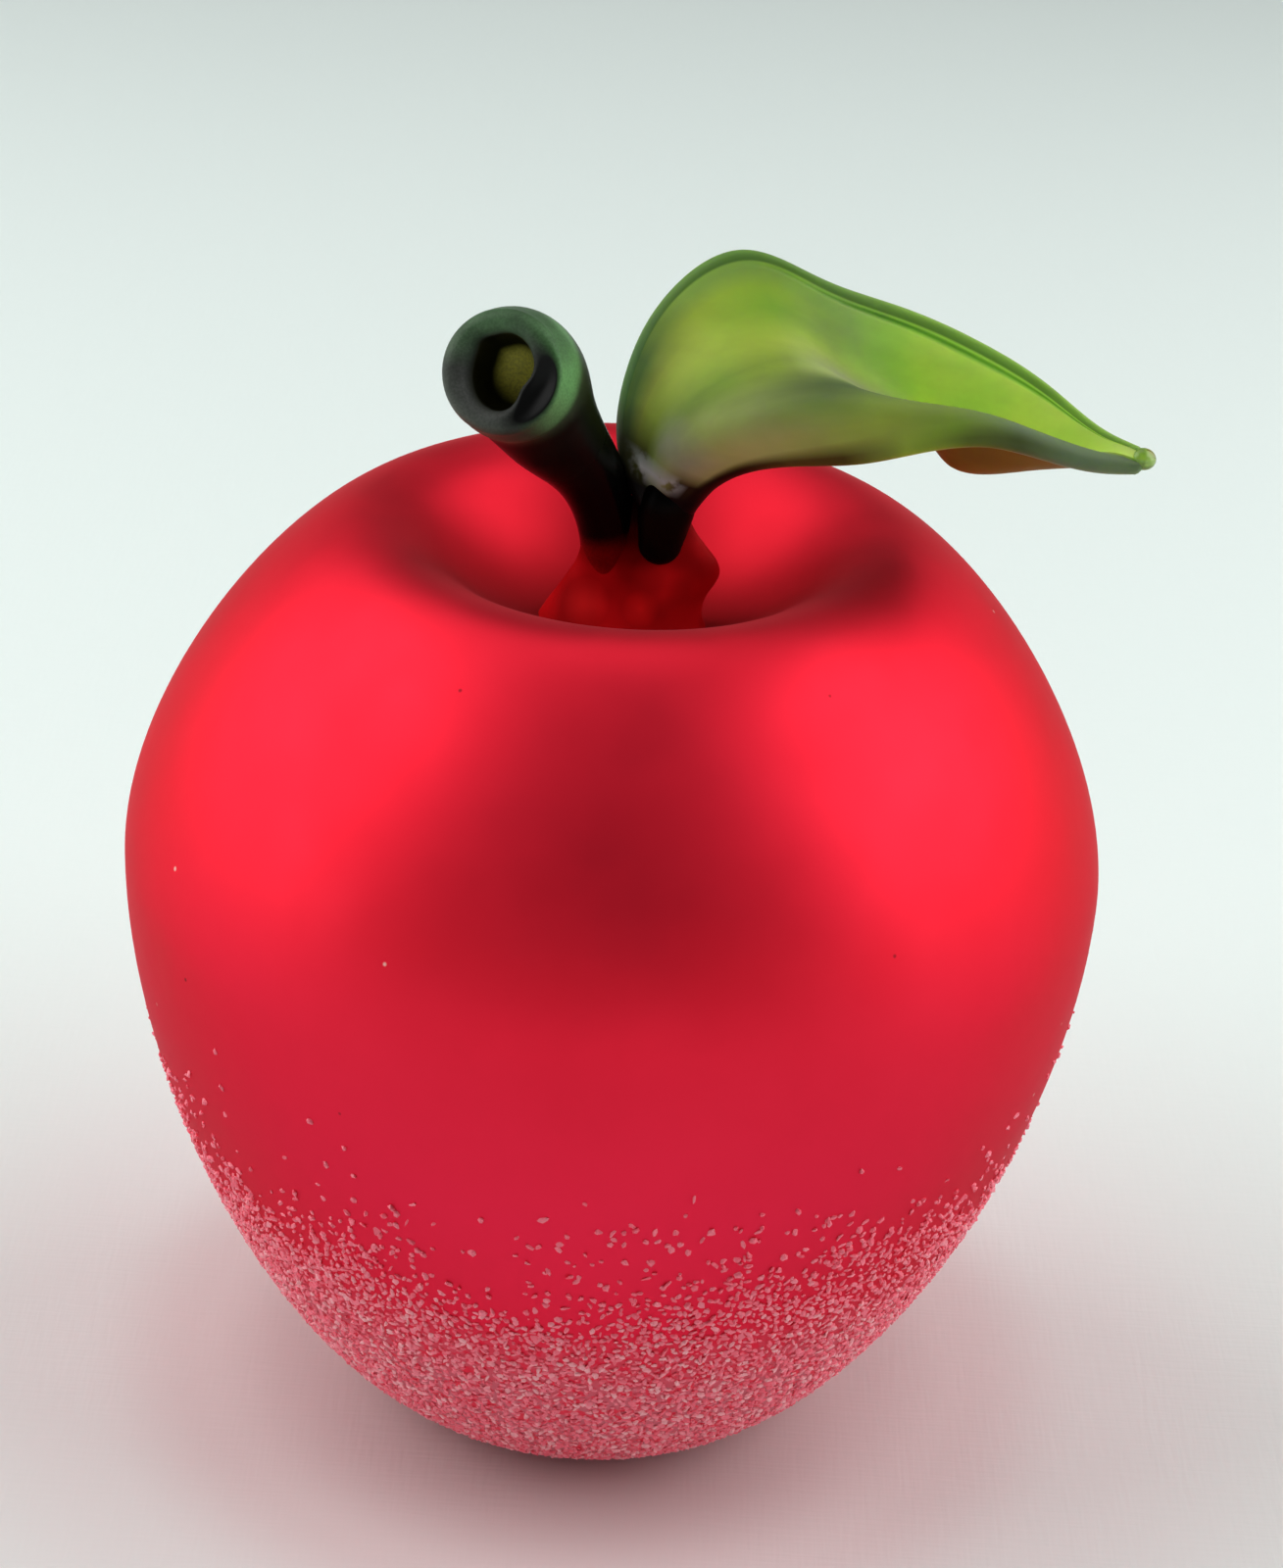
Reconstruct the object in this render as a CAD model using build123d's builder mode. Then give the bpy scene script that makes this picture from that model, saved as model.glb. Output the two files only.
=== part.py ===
"""Hand-blown glass apple with an applied stem and leaf.

Millimetres, +Z up. The origin is the middle of the flat foot, on the apple's axis.
+X is the side the leaf points to, -Y is the front that the stem's open end faces.
"""
import math
import os

from build123d import *

# Apple body: outside of the red casing
body_radius = 53.0
belly_height = 67.5
crest_radius = 27.0
crest_height = 105.5
foot_radius = 17.0
dimple_depth = 12.0

# How far each curve of the body keeps its starting direction
foot_reach = 16.0
belly_drop = 28.5
belly_rise = 15.5
crest_reach = 9.0
dimple_lip_reach = 8.0
dimple_floor_reach = 16.0

# Glass layers
ruby_wall = 1.6
clear_wall = 4.0
frit_thickness = 0.5
frit_bottom = 1.0
frit_top = 46.0
neck_radius = 4.5

# Red collar in the dimple: an oval mound round the feet of stem and leaf
boss_center = (1.8, -1.0)
boss_length = 18.0
boss_width = 14.0
boss_waist_length = 14.4
boss_waist_width = 9.6
boss_waist_rise = 4.5
boss_top_length = 12.4
boss_top_width = 7.6
boss_rise = 9.5
boss_top_round = 1.6
plug_length = 3.0

# Stem: the middle of its line, from the collar to the open end, heights above the dimple's floor
stem_points = [
    (-1.7, 0.0, 3.5),
    (-2.4, 0.0, 11.5),
    (-5.4, -2.2, 19.5),
    (-9.2, -4.8, 25.2),
    (-12.5, -8.6, 31.4),
    (-14.4, -12.8, 33.5),
]
stem_base_radius = 3.5
stem_waist_radius = 3.2
stem_neck_radius = 3.8
stem_head_radius = 6.4
stem_lip_radius = 5.2
stem_mouth_radius = 3.7
stem_mouth_depth = 8.0
stem_mouth_taper = 8.0
stem_lip_round = 0.7

# Where the stem's sections lie, as shares of its line
stem_waist_share = 0.21
stem_neck_share = 0.47
stem_swell_share = 0.65
stem_head_share = 0.86

# Leaf foot: the middle of the dark column beside the stem, heights above the dimple's floor
leaf_foot_points = [(3.7, -2.0, 6.5), (3.6, -2.2, 12.0), (2.8, -1.4, 18.1)]
leaf_foot_base_radius = 2.3
leaf_foot_radius = 3.0
leaf_foot_top_radius = 4.0

# Leaf blade: its two edges, from the foot to the tip, heights above the dimple's floor
leaf_near_edge_points = [
    (4.3, -3.5, 17.5),
    (9.2, -6.0, 20.9),
    (15.0, -8.0, 23.2),
    (22.7, -10.0, 25.1),
    (30.5, -10.0, 26.7),
    (36.0, -9.8, 28.1),
    (41.5, -8.8, 27.5),
    (47.4, -7.0, 24.7),
    (50.4, -6.2, 24.1),
]
leaf_far_edge_points = [
    (-0.3, 1.5, 17.5),
    (-1.6, 3.0, 21.9),
    (-0.9, 4.0, 28.0),
    (2.4, 5.2, 35.4),
    (9.5, 6.0, 40.8),
    (17.5, 5.6, 38.7),
    (26.0, 4.0, 36.1),
    (34.0, 2.0, 33.3),
    (41.0, -0.6, 29.8),
    (47.0, -3.0, 26.4),
    (50.6, -4.4, 25.5),
]
leaf_base_thickness = 4.4
leaf_thickness = 2.2
leaf_tip_thickness = 1.5
leaf_trough_pull = 20.0
leaf_lip_pull = 4.0
leaf_bead_radius = 1.2

# Where the leaf's lip and trough lie across it, and how late along it they swell
leaf_lip_place = 0.15
leaf_lip_lateness = 0.8
leaf_trough_place = 0.4
leaf_trough_lateness = 2.2
leaf_base_share = 0.3
leaf_stations = 10
leaf_station_crowding = 1.3

# Heights that follow from the sizes above
dimple_floor = crest_height - dimple_depth
plug_bottom = dimple_floor - ruby_wall - clear_wall - plug_length


def line_from_dimple(points):
    """Smooth line through points whose heights are above the dimple's floor."""
    with BuildLine() as line:
        Spline(*[(x, y, dimple_floor + height) for x, y, height in points])
    return line.edges()[0]


def plane_across(line, share):
    """Plane square to a line, at a share of its length."""
    return Plane(origin=line @ share, x_dir=(1, 0, 0), z_dir=line % share)


# Shape of the body

def body_outline(inset):
    """Half profile of the body, with every wall moved inwards by the inset."""
    side = body_radius - inset
    foot = inset
    crest = crest_height - inset
    floor = dimple_floor - inset
    belly = (side, belly_height)
    top = (crest_radius, crest)
    Line((0, floor), (0, foot))
    Line((0, foot), (foot_radius, foot))
    Bezier((foot_radius, foot), (foot_radius + foot_reach, foot), (side, belly_height - belly_drop), belly)
    Bezier(belly, (side, belly_height + belly_rise), (crest_radius + crest_reach, crest), top)
    Bezier(top, (crest_radius - dimple_lip_reach, crest), (dimple_floor_reach, floor), (0, floor))


def gather(inset, mode=Mode.ADD):
    """Solid apple shape, with every wall moved inwards by the inset."""
    with BuildSketch(Plane.XZ) as profile:
        with BuildLine():
            body_outline(inset)
        make_face()
    revolve(profile.sketch, axis=Axis.Z, mode=mode)


def neck_bore():
    """The blow hole through the dimple's floor."""
    with BuildSketch(Plane.XY.offset(plug_bottom)) as bore:
        Circle(neck_radius)
    extrude(bore.sketch, amount=crest_height - plug_bottom, mode=Mode.SUBTRACT)


# Clear inner bubble

with BuildPart() as inner_gather:
    gather(ruby_wall)
    gather(ruby_wall + clear_wall, Mode.SUBTRACT)
    neck_bore()

# Red casing

with BuildPart() as ruby_overlay:
    gather(0)
    gather(ruby_wall, Mode.SUBTRACT)
    neck_bore()

# Band of crushed glass round the lower body

with BuildPart() as frit_coat:
    gather(-frit_thickness)
    gather(0, Mode.SUBTRACT)
    split(bisect_by=Plane.XY.offset(frit_bottom), keep=Keep.TOP)
    split(bisect_by=Plane.XY.offset(frit_top), keep=Keep.BOTTOM)

# Stem

stem_axis = line_from_dimple(stem_points)
stem_sections = {
    0.0: stem_base_radius,
    stem_waist_share: stem_waist_radius,
    stem_neck_share: stem_neck_radius,
    stem_swell_share: (stem_neck_radius + stem_head_radius) / 2,
    stem_head_share: stem_head_radius,
    1.0: stem_lip_radius,
}

with BuildPart() as stem:
    for share, radius in stem_sections.items():
        with BuildSketch(plane_across(stem_axis, share)):
            Circle(radius)
    loft()
    with BuildSketch(plane_across(stem_axis, 1)):
        Circle(stem_mouth_radius)
    extrude(amount=-stem_mouth_depth, taper=stem_mouth_taper, mode=Mode.SUBTRACT)
    mouth_edges = stem.edges().filter_by(GeomType.CIRCLE).sort_by_distance(stem_axis @ 1)
    fillet(mouth_edges[:2], stem_lip_round)

# Leaf foot

leaf_foot_axis = line_from_dimple(leaf_foot_points)

with BuildPart() as leaf_foot:
    for share, radius in ((0, leaf_foot_base_radius), (0.5, leaf_foot_radius), (1, leaf_foot_top_radius)):
        with BuildSketch(plane_across(leaf_foot_axis, share)):
            Circle(radius)
    loft()
    add(stem.part, mode=Mode.SUBTRACT)

# Leaf blade

near_edge = line_from_dimple(leaf_near_edge_points)
far_edge = line_from_dimple(leaf_far_edge_points)


def leaf_section_thickness(share):
    """Thickness of the blade at a share of its length: thick at the base, thin at the tip."""
    if share < leaf_base_share:
        return leaf_base_thickness + (leaf_thickness - leaf_base_thickness) * share / leaf_base_share
    rest = (share - leaf_base_share) / (1 - leaf_base_share)
    return leaf_thickness + (leaf_tip_thickness - leaf_thickness) * rest


def leaf_swell(share, lateness):
    """Nothing at the base and the tip, one in between, later along the blade for a larger lateness."""
    return math.sin(math.pi * share ** lateness) ** 2


def leaf_plane(share):
    """Plane across the blade: x from the near edge to the far edge, y towards the underside."""
    near = near_edge @ share
    across = far_edge @ share - near
    along = near_edge % share + far_edge % share
    return Plane(origin=near, x_dir=across, z_dir=across.cross(across.cross(along)))


def beside(controls, distance):
    """Control points of a curve that runs beside another one, at a distance."""
    sides = []
    for first, second in zip(controls, controls[1:]):
        heading = (second - first).normalized()
        sides.append(Vector(-heading.Y, heading.X))
    moved = [controls[0] + sides[0] * distance]
    for point, before, after in zip(controls[1:-1], sides, sides[1:]):
        moved.append(point + (before + after) * (distance / (1 + before.dot(after))))
    moved.append(controls[-1] + sides[-1] * distance)
    return moved


def leaf_section(share):
    """Closed section across the blade: a rolled near lip, a trough and a plain far edge."""
    width = (far_edge @ share - near_edge @ share).length
    half = leaf_section_thickness(share) / 2
    span = width - 2 * half
    lip = leaf_lip_pull * leaf_swell(share, leaf_lip_lateness)
    trough = leaf_trough_pull * leaf_swell(share, leaf_trough_lateness)
    middle = [
        Vector(half, 0),
        Vector(half + leaf_lip_place * span, -lip),
        Vector(half + leaf_trough_place * span, trough),
        Vector(half + span, 0),
    ]
    upper = beside(middle, -half)
    lower = beside(middle, half)
    near_tip = middle[0] - (middle[1] - middle[0]).normalized() * half
    far_tip = middle[3] + (middle[3] - middle[2]).normalized() * half
    with BuildSketch(leaf_plane(share)) as section:
        with BuildLine():
            Bezier(*upper)
            ThreePointArc(upper[-1], far_tip, lower[-1])
            Bezier(*reversed(lower))
            ThreePointArc(lower[0], near_tip, upper[0])
        make_face()
    return section.sketch


leaf_sections = []
for station in range(leaf_stations + 1):
    share_left = (1 - station / leaf_stations) ** leaf_station_crowding
    leaf_sections.append(leaf_section(1 - share_left))
leaf_tip = (near_edge @ 1 + far_edge @ 1) / 2
leaf_tip_direction = (near_edge % 1 + far_edge % 1).normalized()

with BuildPart() as leaf_bead:
    with Locations(leaf_tip + leaf_tip_direction * leaf_bead_radius / 2):
        Sphere(leaf_bead_radius)

with BuildPart() as leaf_blade:
    loft(leaf_sections)
    add(leaf_bead.part, mode=Mode.SUBTRACT)
    add(leaf_foot.part, mode=Mode.SUBTRACT)
    add(stem.part, mode=Mode.SUBTRACT)

# Collar that closes the blow hole and holds the feet of stem and leaf

boss_levels = [
    (0.0, boss_length, boss_width),
    (boss_waist_rise, boss_waist_length, boss_waist_width),
    (boss_rise, boss_top_length, boss_top_width),
]

with BuildPart() as stem_boss:
    for rise, length, width in boss_levels:
        with BuildSketch(Plane.XY.offset(dimple_floor + rise)):
            with Locations(boss_center):
                Ellipse(length / 2, width / 2)
    loft()
    fillet(stem_boss.edges().group_by(Axis.Z)[-1], boss_top_round)
    gather(0, Mode.SUBTRACT)
    with BuildSketch(Plane.XY.offset(plug_bottom)):
        Circle(neck_radius)
    extrude(amount=dimple_floor + boss_waist_rise / 2 - plug_bottom)
    add(leaf_foot.part, mode=Mode.SUBTRACT)
    add(stem.part, mode=Mode.SUBTRACT)

# Write the pieces

pieces = {
    "inner_gather": inner_gather,
    "ruby_overlay": ruby_overlay,
    "frit_coat": frit_coat,
    "stem_boss": stem_boss,
    "stem": stem,
    "leaf_foot": leaf_foot,
    "leaf_blade": leaf_blade,
    "leaf_bead": leaf_bead,
}
os.makedirs("parts", exist_ok=True)
for piece_name, piece in pieces.items():
    piece.part.label = piece_name
    export_step(piece.part, f"parts/{piece_name}.step")
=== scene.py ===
"""Looks of the glass apple: satin red body, crushed glass round its foot, dark stem and green leaf.

Metres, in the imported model's frame: +Z up, +X is the side the leaf points to, -Y is the front.
"""
import math

import bmesh
import bpy
import numpy as np
from mathutils import Matrix, Vector


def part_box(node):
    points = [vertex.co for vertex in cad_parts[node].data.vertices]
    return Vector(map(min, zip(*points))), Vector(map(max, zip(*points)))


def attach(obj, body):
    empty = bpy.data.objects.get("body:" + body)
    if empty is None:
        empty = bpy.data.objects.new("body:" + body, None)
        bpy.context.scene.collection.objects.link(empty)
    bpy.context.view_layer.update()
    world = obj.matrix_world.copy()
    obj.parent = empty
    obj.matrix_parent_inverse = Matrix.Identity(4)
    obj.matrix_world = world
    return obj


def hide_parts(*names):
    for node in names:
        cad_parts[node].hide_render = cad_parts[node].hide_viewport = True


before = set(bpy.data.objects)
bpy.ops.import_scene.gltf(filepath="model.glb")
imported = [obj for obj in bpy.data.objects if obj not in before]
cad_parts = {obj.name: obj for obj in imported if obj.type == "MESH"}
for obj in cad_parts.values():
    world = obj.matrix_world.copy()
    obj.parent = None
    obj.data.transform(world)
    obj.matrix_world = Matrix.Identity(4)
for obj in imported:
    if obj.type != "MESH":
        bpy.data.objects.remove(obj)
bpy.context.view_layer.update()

mm = 0.001

# Body sizes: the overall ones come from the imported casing
casing_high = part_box("ruby_overlay")[1]
body_radius = casing_high.x
crest_height = casing_high.z
belly_height = 67.5 * mm
crest_radius = 27.0 * mm
foot_radius = 17.0 * mm
dimple_depth = 12.0 * mm
dimple_floor = crest_height - dimple_depth
foot_reach = 16.0 * mm
belly_drop = 28.5 * mm
belly_rise = 15.5 * mm
crest_reach = 9.0 * mm
dimple_lip_reach = 8.0 * mm
dimple_floor_reach = 16.0 * mm
body_sides = 224
body_curve_steps = 40
foot_rings = 4

# Heights and radii between which the body's colour changes
# Low down the body turns pinker: a painted reflection of the pale floor
floor_reflection_heights = (52.0 * mm, 80.0 * mm)
fines_heights = (22.0 * mm, 36.0 * mm)
# Inside the dimple the body darkens: painted shade
dimple_shade_heights = (60.0 * mm, 80.0 * mm)
dimple_shade_radii = (9.0 * mm, 25.0 * mm)

# Crushed glass: full cover low down, loose chips above, in three bands round the body
frit_bottom = 0.8 * mm
frit_dense_top = 36.0 * mm
frit_loose_top = 60.0 * mm
frit_names = ["frit_foot", "frit_crust", "frit_chips"]
frit_edges = [frit_bottom, 16.0 * mm, 29.0 * mm, frit_loose_top]
frit_first_seed = 3
frit_band_rings = 24
frit_drift = 44.0 * mm
frit_drift_waves = 52.0
frit_thinning = 2.7
frit_most_points = 4.0e6
frit_redder_heights = (30.0 * mm, 46.0 * mm)
chip_radius = 0.4 * mm
chip_spacing = 0.56 * mm
chip_least_stretch = (0.6, 0.45, 0.35)
chip_most_stretch = (1.7, 1.2, 0.8)
chip_tilt = 0.5
chip_crumple_waves = 1400.0

# Collar in the dimple, in millimetres: height above its floor, middle along X, half length, half width
boss_levels = [
    (-1.5, 0.0, 11.0, 8.0),
    (1.6, -0.6, 8.8, 5.6),
    (3.4, -0.25, 8.15, 4.4),
    (5.0, 0.45, 7.85, 3.6),
    (6.4, 1.25, 7.85, 3.2),
    (7.6, 1.8, 7.7, 3.0),
    (9.0, 1.8, 7.2, 2.7),
    (10.4, 1.35, 6.55, 2.3),
    (12.0, 0.85, 5.85, 1.9),
    (13.5, 0.7, 5.2, 1.6),
    (14.8, 0.9, 4.1, 1.2),
    (15.6, 1.0, 2.0, 0.6),
]
boss_middle_depth = -0.6
boss_top_round = 0.25
boss_rings = 48
boss_sides = 72
# Painted glints of light in the collar: middle and reach in millimetres, and colour
painted_collar_glints = [
    ((-4.6, -4.2, 4.8), 2.8, (1.0, 0.02, 0.022)),
    ((3.9, -3.2, 7.4), 3.8, (0.9, 0.016, 0.02)),
    ((1.4, -4.4, 4.6), 2.0, (1.0, 0.016, 0.018)),
    ((6.9, -1.4, 11.2), 3.6, (0.75, 0.012, 0.016)),
]
painted_glint_strength = 0.9

# Stem, in millimetres: points of its line, with heights above the dimple's floor, and radii at shares of it
stem_points = [
    (-1.7, 0.0, 3.5),
    (-2.4, 0.0, 11.5),
    (-5.4, -2.2, 19.5),
    (-9.1, -4.8, 25.0),
    (-12.0, -8.6, 31.0),
    (-13.6, -12.8, 33.3),
]
stem_radii = [(0.0, 3.5), (0.21, 3.2), (0.47, 3.9), (0.65, 5.3), (0.84, 6.6), (0.94, 6.7), (1.0, 6.3)]
stem_rings = 90
stem_sides = 72
# Turns where the head's painted highlight on its right flank and painted light on its top are strongest
stem_right_turn = math.radians(15)
stem_upper_turn = math.radians(100)
# The lip and the hole lengthen the line past its end by these shares
stem_lip_rings = 24
stem_lip_span = 0.1
stem_hole_rings = 14
stem_hole_span = 0.4
stem_line_end = 1 + stem_lip_span + stem_hole_span
stem_hole_bottom = 0.1
stem_mouth_radius = 3.6 * mm
stem_mouth_depth = 5.5 * mm
stem_mouth_oval = 0.08
stem_mouth_oval_turn = math.radians(80)
stem_mouth_fold = 0.24
stem_mouth_fold_turn = math.radians(-36)
stem_mouth_fold_reach = math.radians(32)
stem_mouth_notch = 0.1
stem_mouth_notch_turn = math.radians(128)
stem_mouth_notch_reach = math.radians(14)
stem_lip_bulge = 1.3
stem_groove_place = 0.5
stem_groove_width = 0.3
stem_groove_depth = 2.2 * mm
stem_groove_turn = math.radians(-24)
stem_groove_reach = math.radians(80)

# Leaf foot, in the same way
leaf_foot_points = [
    (3.0, -2.3, 11.3),
    (3.2, -2.3, 13.0),
    (3.5, -2.4, 15.7),
    (4.0, -2.0, 18.3),
    (5.0, -1.8, 20.6),
]
leaf_foot_radii = [(0.0, 2.3), (0.2, 2.65), (0.47, 2.95), (0.75, 2.4), (1.0, 0.8)]
leaf_foot_sides = 48
leaf_foot_rings = 40
leaf_foot_end_steps = 8
leaf_foot_top_round = 0.5

# Leaf blade: its two edges in millimetres, from the foot to the tip
leaf_near_edge_points = [
    (6.0, -3.2, 14.6),
    (7.4, -4.3, 17.6),
    (9.3, -5.6, 20.0),
    (11.9, -6.9, 21.8),
    (15.5, -8.2, 23.1),
    (22.7, -10.0, 24.7),
    (30.5, -10.0, 27.0),
    (35.6, -9.8, 27.6),
    (41.8, -8.8, 26.1),
    (47.8, -7.0, 24.4),
    (50.5, -6.2, 24.0),
]
leaf_far_edge_points = [
    (0.7, -1.5, 15.0),
    (-1.0, 0.6, 18.0),
    (-1.9, 2.4, 21.6),
    (-1.3, 4.0, 28.0),
    (2.0, 5.2, 35.5),
    (9.5, 6.0, 40.8),
    (17.5, 5.6, 38.4),
    (26.0, 4.0, 36.3),
    (34.0, 2.0, 33.8),
    (41.2, -0.6, 30.6),
    (47.2, -3.0, 27.1),
    (50.7, -4.4, 26.2),
]
leaf_base_thickness = 4.8 * mm
leaf_thickness = 2.2 * mm
leaf_tip_thickness = 1.5 * mm
leaf_trough_pull = 26.5 * mm
leaf_trough_place = 0.25
leaf_trough_lateness = 1.94
leaf_lip_pull = 12.0 * mm
leaf_lip_place = 0.29
leaf_lip_lateness = 0.79
leaf_base_share = 0.3
leaf_rim_share = 0.99
leaf_rim_width = 0.004
leaf_rim_dip = 0.4
leaf_rim_start = (0.4, 0.55)
leaf_lip_thickening = [(0.0, 0.0), (0.45, 0.0), (0.7, 0.2), (0.9, 0.3), (1.0, 0.2)]
leaf_lip_width = 0.12
leaf_tip_round = 1.1 * mm
leaf_tip_steps = 6
leaf_bead_radius = 1.15 * mm
leaf_bead_stretch = 1.15
leaf_bead_heading = np.array([1.0, 0.1, -0.15])
leaf_bead_rings = 20
leaf_bead_sides = 32
leaf_bead_lift = np.array([0.4, 0.0, 0.4]) * mm
leaf_rings = 140
leaf_shares_across = np.concatenate([np.linspace(0, 0.9, 40), np.linspace(0.9, 1, 41)[1:]])
leaf_steps_round_edge = 8

# Leaf tints, among them painted light and painted shade: colour, strength, shares along and across the blade,
# and how soft the ends and the sides are
leaf_paints = [
    # Painted lime light in the fold where light comes through the glass, then the green band, a greyer rim
    # painted lighter over the far wall's shade, and brown arc inside the far rim
    ((0.2, 0.28, 0.04), 0.75, (0.14, 0.46), (0.38, 0.68), 0.06, 0.1),
    ((0.68, 0.97, 0.22), 0.95, (0.48, 1.1), (0.5, 1.2), 0.08, 0.06),
    ((0.52, 0.64, 0.09), 0.85, (0.15, 0.5), (0.74, 1.2), 0.08, 0.08),
    ((0.2, 0.28, 0.04), 0.5, (0.12, 0.26), (0.6, 0.92), 0.06, 0.08),
    ((0.11, 0.36, 0.025), 0.6, (0.36, 0.48), (0.82, 0.95), 0.06, 0.06),
    ((0.4, 0.48, 0.26), 0.6, (0.5, 0.6), (0.86, 1.2), 0.05, 0.06),
    ((0.22, 0.38, 0.12), 0.6, (0.25, 0.5), (0.96, 1.2), 0.08, 0.02),
    ((0.3, 0.3, 0.18), 0.8, (0.43, 0.62), (0.5, 0.74), 0.05, 0.08),
    ((0.2, 0.18, 0.05), 0.45, (0.1, 0.28), (0.88, 0.94), 0.05, 0.04),
    ((0.05, 0.13, 0.045), 0.85, (-0.2, 0.27), (0.93, 1.2), 0.05, 0.04),
    # Olive and grey towards the base, with a brown lower edge; their olive-brown is partly painted red light
    # thrown up from the body
    ((0.42, 0.45, 0.17), 0.75, (-0.2, 0.34), (-0.2, 0.45), 0.1, 0.15),
    ((0.44, 0.4, 0.15), 0.7, (-0.2, 0.42), (0.06, 0.24), 0.08, 0.08),
    ((0.32, 0.36, 0.06), 0.6, (0.38, 0.56), (0.04, 0.18), 0.06, 0.05),
    ((0.05, 0.028, 0.004), 0.92, (0.05, 0.46), (-0.2, 0.05), 0.06, 0.03),
    ((0.34, 0.34, 0.27), 0.65, (0.11, 0.19), (0.14, 0.68), 0.03, 0.1),
    # Painted shadow under the fold's ridge on its grey-green front, and the fold's thick lip near the tip
    ((0.08, 0.11, 0.055), 0.8, (0.34, 0.66), (0.22, 0.52), 0.09, 0.09),
    ((0.04, 0.06, 0.03), 0.75, (0.42, 0.66), (0.36, 0.54), 0.08, 0.05),
    ((0.09, 0.12, 0.055), 0.55, (0.54, 0.78), (0.08, 0.3), 0.06, 0.05),
    ((0.11, 0.15, 0.09), 0.95, (0.68, 1.2), (-0.2, 0.24), 0.06, 0.05),
    ((0.06, 0.075, 0.01), 0.75, (0.58, 0.8), (-0.2, 0.04), 0.06, 0.03),
    # Thin dark line of painted shade in the crease inside the rolled far rim, and its dark outer edge
    ((0.08, 0.25, 0.02), 0.75, (0.55, 0.95), (0.986, 0.994), 0.05, 0.003),
    ((0.05, 0.13, 0.03), 0.8, (-0.2, 1.2), (0.997, 1.2), 0.05, 0.002),
    # Black root and lower edge, brown above the root
    ((0.03, 0.02, 0.012), 0.85, (-0.2, 0.14), (0.7, 1.2), 0.03, 0.08),
    ((0.004, 0.003, 0.002), 0.95, (-0.2, 0.24), (-0.2, 0.04), 0.05, 0.03),
    ((0.012, 0.004, 0.002), 0.97, (-0.2, 0.115), (-0.2, 0.3), 0.02, 0.08),
    ((0.003, 0.002, 0.002), 1.0, (-0.2, 0.065), (-0.2, 1.2), 0.015, 0.06),
]

# Camera, fitted to the photograph's viewing angle
camera_place = (0.0, -342.87 * mm, 256.02 * mm)
camera_yaw = math.radians(0.45)
camera_pitch = math.radians(27.82)
camera_roll = math.radians(3.64)
camera_lens = 81.92
camera_sensor = 36.0
camera_near = 0.01

# Stage
floor_radius = 1.0
backdrop_radius = 4.0
backdrop_height = 0.55
floor_sides = 128
# Radii over which the floor's painted shade and red light from the apple fade out round its foot
floor_shade_radii = (0.03, 0.13)
thread_waves = 1500.0
glow_start = 0.75 * floor_radius
glow_full = 1.1 * floor_radius
room_light = 0.09
backdrop_light = 0.7

# Lamps: place, width, height and power
lamps = {
    "left_window": ((-0.66, 0.06, 0.5), 0.95, 0.85, 6.4),
    "right_window": ((0.66, 0.06, 0.5), 0.95, 0.85, 6.4),
    "top_panel": ((-0.12, 0.3, 0.95), 0.6, 0.6, 1.2),
    "low_front": ((0.0, -0.9, 0.07), 1.4, 0.13, 0.65),
}


# Curves

def bezier_at(controls, shares):
    """Points at shares of a cubic curve with four control points."""
    first, second, third, fourth = np.array(controls, float)
    t = np.asarray(shares, float)[:, None]
    early = first * (1 - t) ** 3 + 3 * second * t * (1 - t) ** 2
    return early + 3 * third * t * t * (1 - t) + fourth * t ** 3


def bezier(first, second, third, fourth, steps):
    """Points of a cubic curve, without its first one."""
    return list(bezier_at((first, second, third, fourth), np.linspace(0, 1, steps + 1)[1:]))


def from_dimple(points):
    """Points in metres from points in millimetres whose heights are above the dimple's floor."""
    return np.array(points) * mm + np.array([0, 0, dimple_floor])


def smooth_line(points, shares):
    """Points at shares of a natural cubic curve through the given points."""
    points = np.array(points, float)
    steps = np.linalg.norm(np.diff(points, axis=0), axis=1)
    knots = np.concatenate([[0], np.cumsum(steps)]) / steps.sum()
    gaps = np.diff(knots)
    count = len(points)
    balance = np.eye(count)
    pull = np.zeros_like(points)
    for k in range(1, count - 1):
        balance[k, k - 1:k + 2] = gaps[k - 1], 2 * (gaps[k - 1] + gaps[k]), gaps[k]
        pull[k] = 6 * ((points[k + 1] - points[k]) / gaps[k] - (points[k] - points[k - 1]) / gaps[k - 1])
    bends = np.linalg.solve(balance, pull)
    shares = np.atleast_1d(np.asarray(shares, float))
    left = np.clip(np.searchsorted(knots, shares, side="right") - 1, 0, count - 2)
    gap = gaps[left][:, None]
    before = ((knots[left + 1] - shares) / gaps[left])[:, None]
    after = 1 - before
    bend = (before ** 3 - before) * bends[left] + (after ** 3 - after) * bends[left + 1]
    return before * points[left] + after * points[left + 1] + bend * gap ** 2 / 6


def smooth_values(pairs, shares):
    """Values at shares, eased between (share, value) pairs."""
    places = np.array([place for place, value in pairs])
    values = np.array([value for place, value in pairs])
    slopes = np.gradient(values, places)
    shares = np.atleast_1d(np.asarray(shares, float))
    left = np.clip(np.searchsorted(places, shares, side="right") - 1, 0, len(places) - 2)
    gap = places[left + 1] - places[left]
    t = (shares - places[left]) / gap
    rise = values[left] * (1 + 2 * t) * (1 - t) ** 2 + values[left + 1] * t * t * (3 - 2 * t)
    return rise + gap * (slopes[left] * t * (1 - t) ** 2 - slopes[left + 1] * t * t * (1 - t))


# Meshes

def new_piece(name, mesh):
    """Object in the scene with a mesh."""
    piece = bpy.data.objects.new(name, mesh)
    bpy.context.scene.collection.objects.link(piece)
    return piece


def ring_faces(first, ring_count, sides):
    """Faces between rings of vertices that follow each other from the first vertex on."""
    faces = []
    for ring in range(ring_count - 1):
        low = first + ring * sides
        high = low + sides
        for side in range(sides):
            following = (side + 1) % sides
            faces.append((low + side, low + following, high + following, high + side))
    return faces


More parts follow.
